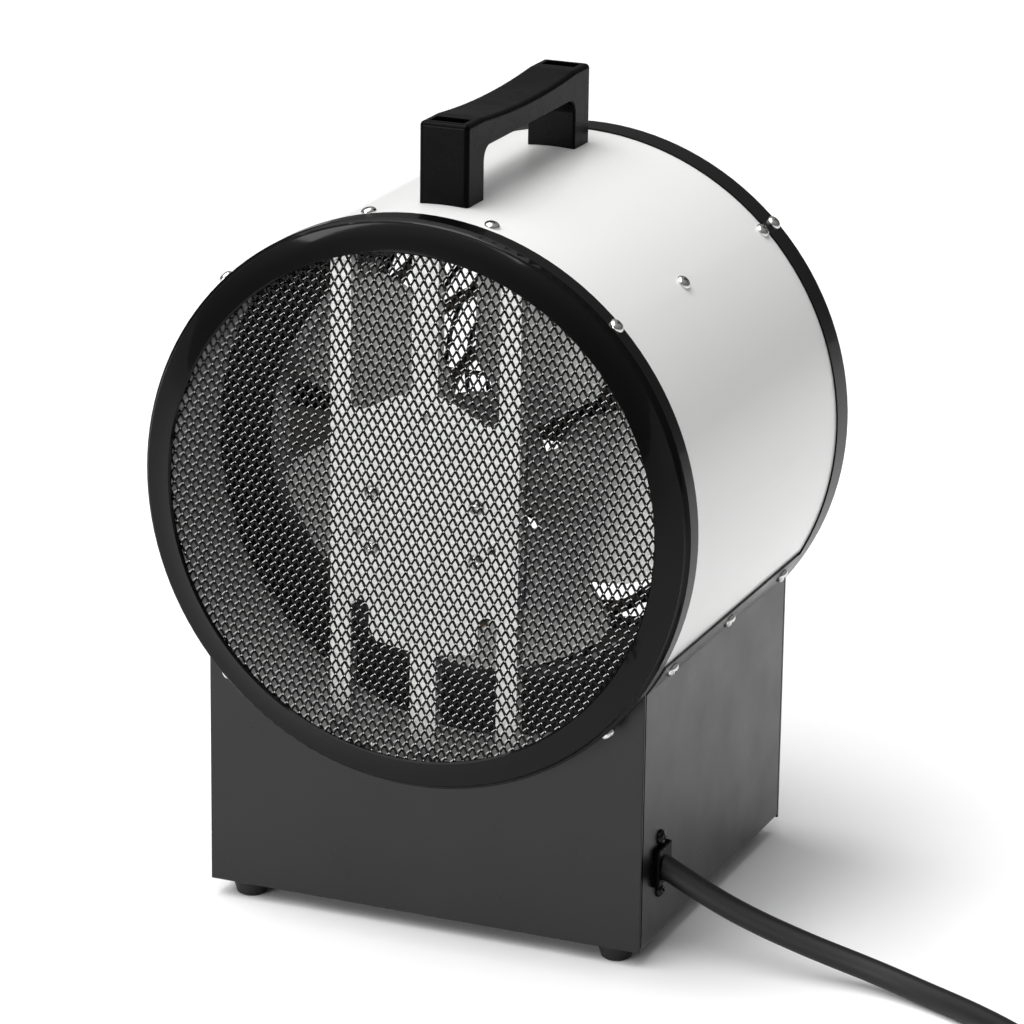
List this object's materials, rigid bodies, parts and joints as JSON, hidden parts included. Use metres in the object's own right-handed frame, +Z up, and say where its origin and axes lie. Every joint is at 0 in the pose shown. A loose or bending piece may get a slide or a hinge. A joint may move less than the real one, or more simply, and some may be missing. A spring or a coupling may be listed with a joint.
{
  "type": "portable electric fan heater",
  "caption": "Horizontal drum fan heater on a folded sheet-metal base: meshed intake, wire outlet guard, fan, ring heating elements, top handle, rotary controls and a coiled mains cord.",
  "frame": {"origin": "on the floor, under the middle of the casing without its cord", "axes": "+Z up, +Y along the air flow from the intake to the outlet, +X to the right seen from the intake side"},
  "size_m": [0.545, 0.4386, 0.4134],
  "materials": {
    "barrel_enamel": "white powder coat, semi-gloss",
    "black_enamel": "black powder coat, satin",
    "zinc_steel": "bright zinc-plated sheet",
    "blade_aluminium": "plain rolled aluminium",
    "screw_steel": "nickel-plated screws",
    "heater_sheath": "heat-tinted stainless sheath",
    "lamination": "varnished steel laminations",
    "winding": "taped winding",
    "bronze": "sintered bronze",
    "black_plastic": "fine-grained black polyamide",
    "pale_ceramic": "glazed terminal moulding",
    "black_rubber": "black rubber"
  },
  "bodies": {
    "housing": {"barrel_shell": "barrel_enamel", "intake_ring": "black_enamel", "outlet_ring": "black_enamel", "intake_mesh": "black_enamel", "outlet_guard": "black_enamel", "base_tray": "black_enamel", "intake_panel": "black_enamel", "control_panel": "black_enamel", "foot_front_right": "black_rubber", "foot_back_right": "black_rubber", "foot_front_left": "black_rubber", "foot_back_left": "black_rubber", "handle": "black_plastic", "motor_bracket": "zinc_steel", "front_bearing_plate": "zinc_steel", "rear_bearing_plate": "zinc_steel", "motor_stack": "lamination", "motor_coil": "winding", "motor_spacers": "zinc_steel", "bearing_bushes": "bronze", "fan_shroud": "black_enamel", "heat_liner": "zinc_steel", "liner_spacers": "zinc_steel", "heater_element_inner": "heater_sheath", "heater_element_middle": "heater_sheath", "heater_element_outer": "heater_sheath", "heater_bracket": "zinc_steel", "thermal_cutout": "zinc_steel", "terminal_block": "pale_ceramic", "heat_switch": "black_plastic", "thermostat": "zinc_steel", "cable_gland": "black_plastic", "supply_cord": "black_rubber", "cord_coil": "black_rubber", "cord_tail": "black_rubber", "plug": "black_rubber", "ring_screws": "screw_steel", "shroud_screws": "screw_steel", "liner_screws": "screw_steel", "saddle_screws": "screw_steel", "bracket_screws": "screw_steel", "handle_screws": "screw_steel", "motor_bolts": "screw_steel", "foot_screws": "screw_steel", "panel_screws": "screw_steel", "gland_screws": "screw_steel"},
    "fan_rotor": {"motor_shaft": "screw_steel", "rotor_core": "lamination", "fan_hub": "blade_aluminium", "fan_blades": "blade_aluminium"},
    "heat_selector": {"heat_spindle": "screw_steel", "heat_knob": "black_plastic"},
    "thermostat_dial": {"thermostat_spindle": "screw_steel", "thermostat_knob": "black_plastic"}
  },
  "joints": [
    {"name": "fan_spin", "type": "hinge", "parent": "housing", "child": "fan_rotor", "pos_m": [0, -0.0286, 0.229], "axis": [0, 1, 0], "continuous": true},
    {"name": "heat_selector_turn", "type": "hinge", "parent": "housing", "child": "heat_selector", "pos_m": [-0.055, 0.1026, 0.0465], "axis": [0, -1, 0], "range_deg": [0, 135]},
    {"name": "thermostat_turn", "type": "hinge", "parent": "housing", "child": "thermostat_dial", "pos_m": [0.055, 0.1026, 0.0465], "axis": [0, -1, 0], "range_deg": [0, 270]}
  ]
}
